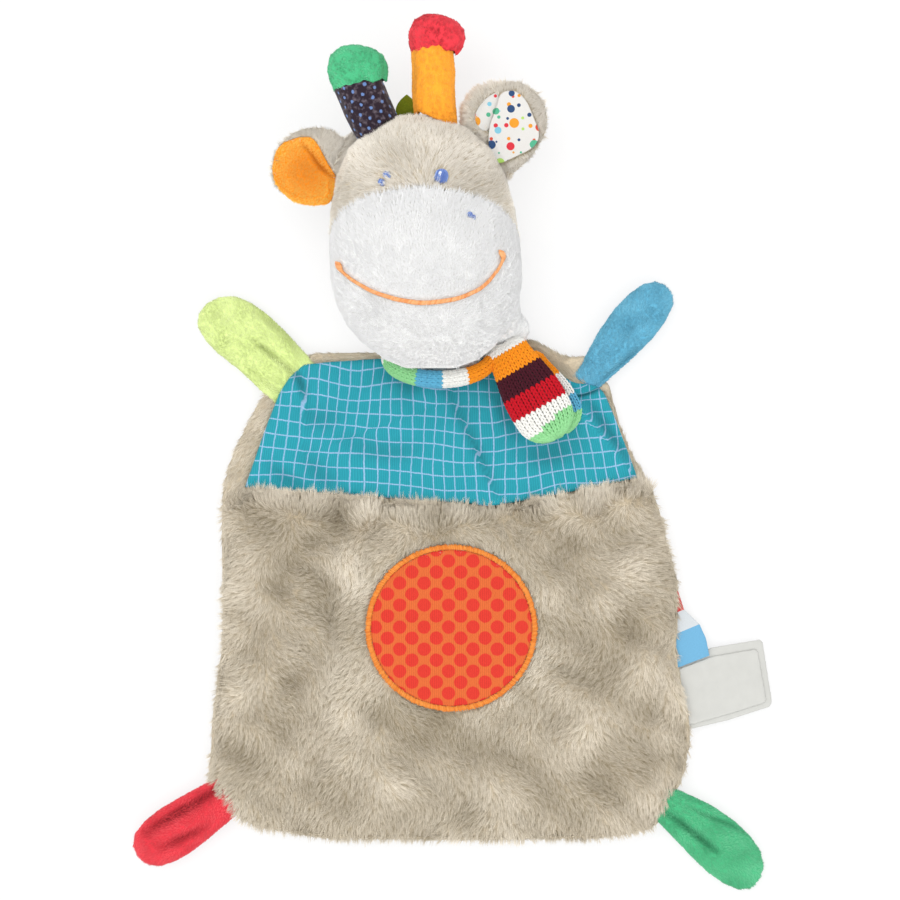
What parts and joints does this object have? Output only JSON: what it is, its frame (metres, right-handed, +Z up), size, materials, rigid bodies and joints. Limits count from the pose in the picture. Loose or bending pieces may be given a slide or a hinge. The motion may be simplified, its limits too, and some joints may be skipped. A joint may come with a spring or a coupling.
{
  "type": "plush comforter toy",
  "caption": "Flat patchwork plush giraffe comforter: stuffed head with horns, ears and a knitted scarf on a soft blanket with padded corner limbs and side tabs.",
  "frame": {"origin": "under the middle of the whole toy, on the surface that it lies on", "axes": "+Z up out of the face, +Y from the hem towards the head, +X to the right as seen from above"},
  "size_m": [0.2174, 0.2942, 0.0506],
  "materials": {
    "beige_plush": "long soft pile",
    "white_plush": "short soft pile",
    "grid_cotton": "printed rib knit with a light grid",
    "dotted_cotton": "printed rib knit with dots",
    "satin_stitch": "shiny thread",
    "lime_velour": "short pile",
    "blue_velour": "short pile",
    "red_velour": "short pile",
    "green_velour": "short pile",
    "orange_velour": "short pile",
    "scarf_knit": "striped stocking stitch",
    "dark_print": "printed velour with specks",
    "confetti_cotton": "printed cotton with coloured dots",
    "olive_felt": "matted felt",
    "blue_thread": "embroidery thread",
    "orange_thread": "embroidery thread",
    "white_satin": "woven satin tape, bare",
    "striped_ribbon": "woven tape, plain colour bands",
    "polyester_fibre": "loose filling"
  },
  "bodies": {
    "blanket": {"back_panel": "beige_plush", "front_panel": "beige_plush", "yoke_panel": "grid_cotton", "belly_patch": "dotted_cotton", "patch_border": "satin_stitch"},
    "neck": {"neck": "white_plush", "scarf_neckband": "scarf_knit"},
    "head": {"head_crown": "beige_plush", "muzzle_cover": "white_plush", "head_stuffing": "polyester_fibre", "left_eye": "blue_thread", "right_eye": "blue_thread", "left_nostril": "blue_thread", "right_nostril": "blue_thread", "smile_stitching": "orange_thread"},
    "left_ear": {"left_ear_outer": "beige_plush", "left_ear_lining": "orange_velour"},
    "right_ear": {"right_ear_outer": "beige_plush", "right_ear_lining": "confetti_cotton"},
    "left_horn": {"left_horn_stem": "dark_print", "left_horn_cap": "green_velour", "left_horn_stuffing": "polyester_fibre"},
    "right_horn": {"right_horn_stem": "orange_velour", "right_horn_cap": "red_velour", "right_horn_stuffing": "polyester_fibre"},
    "mane_leaf": {"mane_leaf": "olive_felt"},
    "front_tail": {"scarf_front_tail": "scarf_knit"},
    "rear_tail": {"scarf_rear_tail": "scarf_knit"},
    "left_arm": {"left_arm_front": "lime_velour", "left_arm_back": "lime_velour", "left_arm_filling": "polyester_fibre"},
    "right_arm": {"right_arm_front": "blue_velour", "right_arm_back": "blue_velour", "right_arm_filling": "polyester_fibre"},
    "left_leg": {"left_leg_front": "red_velour", "left_leg_back": "red_velour", "left_leg_filling": "polyester_fibre"},
    "right_leg": {"right_leg_front": "green_velour", "right_leg_back": "green_velour", "right_leg_filling": "polyester_fibre"},
    "care_label": {"care_label": "white_satin"},
    "ribbon_tab": {"ribbon_tab": "striped_ribbon"}
  },
  "joints": [
    {"name": "neck_nod", "type": "hinge", "parent": "blanket", "child": "neck", "pos_m": [-0.0041, 0.03358, 0.0137], "axis": [1, 0, 0], "range_deg": [-18, 30]},
    {"name": "head_turn", "type": "hinge", "parent": "neck", "child": "head", "pos_m": [-0.0041, 0.03358, 0.0137], "axis": [0, 0.6018, 0.7986], "range_deg": [-25, 25]},
    {"name": "left_ear_flap", "type": "hinge", "parent": "head", "child": "left_ear", "pos_m": [-0.03908, 0.09527, 0.0245], "axis": [0.3746, 0.9272, 0], "range_deg": [-35, 45], "stiffness_Nm_per_rad": 0.01},
    {"name": "right_ear_flap", "type": "hinge", "parent": "head", "child": "right_ear", "pos_m": [0.01313, 0.10489, 0.0245], "axis": [0.6225, -0.7826, 0], "range_deg": [-35, 45], "stiffness_Nm_per_rad": 0.01},
    {"name": "left_horn_bend", "type": "hinge", "parent": "head", "child": "left_horn", "pos_m": [-0.02416, 0.10723, 0.026], "axis": [0.8428, 0.5383, 0], "range_deg": [-25, 25], "stiffness_Nm_per_rad": 0.03},
    {"name": "right_horn_bend", "type": "hinge", "parent": "head", "child": "right_horn", "pos_m": [-0.00571, 0.11195, 0.026], "axis": [0.9935, 0.1141, 0], "range_deg": [-25, 25], "stiffness_Nm_per_rad": 0.03},
    {"name": "mane_leaf_bend", "type": "hinge", "parent": "head", "child": "mane_leaf", "pos_m": [-0.01505, 0.11398, 0.0155], "axis": [1, 0, 0], "range_deg": [-20, 20], "stiffness_Nm_per_rad": 0.002},
    {"name": "front_tail_lift", "type": "hinge", "parent": "blanket", "child": "front_tail", "pos_m": [0.02109, 0.03258, 0.0163], "axis": [-0.866, -0.5, 0], "range_deg": [0, 60]},
    {"name": "rear_tail_swing", "type": "hinge", "parent": "blanket", "child": "rear_tail", "pos_m": [0.02369, 0.03378, 0.0072], "axis": [0, 0, 1], "range_deg": [0, 20]},
    {"name": "left_arm_fold", "type": "hinge", "parent": "blanket", "child": "left_arm", "pos_m": [-0.05831, 0.03218, 0.00435], "axis": [0.7748, 0.6322, 0], "range_deg": [-90, 90]},
    {"name": "right_arm_fold", "type": "hinge", "parent": "blanket", "child": "right_arm", "pos_m": [0.05049, 0.0327, 0.00435], "axis": [0.8132, -0.5819, 0], "range_deg": [-90, 90]},
    {"name": "left_leg_fold", "type": "hinge", "parent": "blanket", "child": "left_leg", "pos_m": [-0.08106, -0.11797, 0.00435], "axis": [-0.5829, 0.8125, 0], "range_deg": [-90, 90]},
    {"name": "right_leg_fold", "type": "hinge", "parent": "blanket", "child": "right_leg", "pos_m": [0.07766, -0.11959, 0.00435], "axis": [-0.4921, -0.8706, 0], "range_deg": [-90, 90]},
    {"name": "care_label_flap", "type": "hinge", "parent": "blanket", "child": "care_label", "pos_m": [0.08188, -0.09187, 0.00435], "axis": [0.0693, -0.9976, 0], "range_deg": [-75, 75], "stiffness_Nm_per_rad": 0.002},
    {"name": "ribbon_tab_flap", "type": "hinge", "parent": "blanket", "child": "ribbon_tab", "pos_m": [0.08036, -0.07031, 0.00435], "axis": [0.1362, -0.9907, 0], "range_deg": [-75, 75], "stiffness_Nm_per_rad": 0.002}
  ]
}
